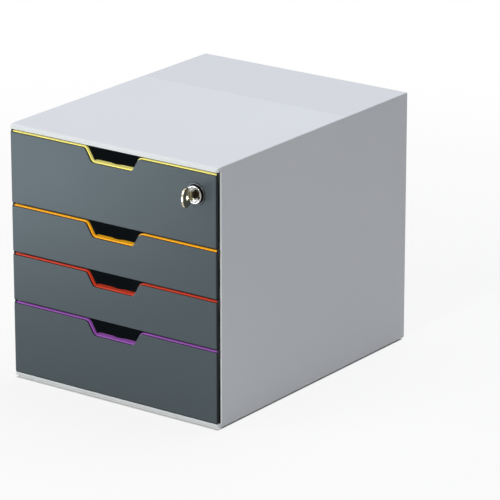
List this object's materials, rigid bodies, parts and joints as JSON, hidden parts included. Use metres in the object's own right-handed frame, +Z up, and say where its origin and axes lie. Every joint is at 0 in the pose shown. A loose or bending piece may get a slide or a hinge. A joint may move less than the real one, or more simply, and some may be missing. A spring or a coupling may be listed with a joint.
{
  "type": "desktop file drawer",
  "caption": "Desktop drawer box for papers: a light grey casing with stacked sliding drawers, coloured trims round their finger notches, and a cam lock with its key.",
  "frame": {"origin": "middle of the footprint, key included, on the surface that the feet stand on", "axes": "+Z up, +Y from the drawer fronts to the back, +X to the right of someone facing the drawers"},
  "size_m": [0.28, 0.38, 0.292],
  "materials": {
    "casing": "fine matt",
    "anthracite": "fine matt",
    "yellow": "satin",
    "orange": "satin",
    "red": "satin",
    "purple": "satin",
    "feet": "matt",
    "collar": "satin",
    "chrome": "polished",
    "steel": "zinc plated",
    "plug": "satin",
    "brass": "stamped",
    "key": "nickel plated"
  },
  "bodies": {
    "casing": {"casing_shell": "casing", "back_panel": "casing", "foot_front_left": "feet", "foot_front_right": "feet", "foot_rear_left": "feet", "foot_rear_right": "feet"},
    "top_drawer": {"top_drawer_tray": "anthracite", "top_drawer_front": "anthracite", "top_drawer_trim": "yellow", "lock_collar": "collar", "lock_housing": "chrome", "lock_nut": "steel"},
    "second_drawer": {"second_drawer_tray": "anthracite", "second_drawer_front": "anthracite", "second_drawer_trim": "orange"},
    "third_drawer": {"third_drawer_tray": "anthracite", "third_drawer_front": "anthracite", "third_drawer_trim": "red"},
    "bottom_drawer": {"bottom_drawer_tray": "anthracite", "bottom_drawer_front": "anthracite", "bottom_drawer_trim": "purple"},
    "lock_core": {"lock_plug": "plug", "lock_wafers": "brass", "lock_cam": "steel", "cam_washer": "steel", "cam_screw": "steel"},
    "key": {"key": "key"}
  },
  "joints": [
    {"name": "top_drawer_slide", "type": "slide", "parent": "casing", "child": "top_drawer", "axis": [0, -1, 0], "range_m": [0, 0.26]},
    {"name": "second_drawer_slide", "type": "slide", "parent": "casing", "child": "second_drawer", "axis": [0, -1, 0], "range_m": [0, 0.26]},
    {"name": "third_drawer_slide", "type": "slide", "parent": "casing", "child": "third_drawer", "axis": [0, -1, 0], "range_m": [0, 0.26]},
    {"name": "bottom_drawer_slide", "type": "slide", "parent": "casing", "child": "bottom_drawer", "axis": [0, -1, 0], "range_m": [0, 0.26]},
    {"name": "lock_turn", "type": "hinge", "parent": "top_drawer", "child": "lock_core", "pos_m": [0.112, -0.166, 0.2593], "axis": [0, 1, 0], "range_deg": [0, 90]},
    {"name": "key_slide", "type": "slide", "parent": "lock_core", "child": "key", "axis": [0, -1, 0], "range_m": [0, 0.04]}
  ]
}
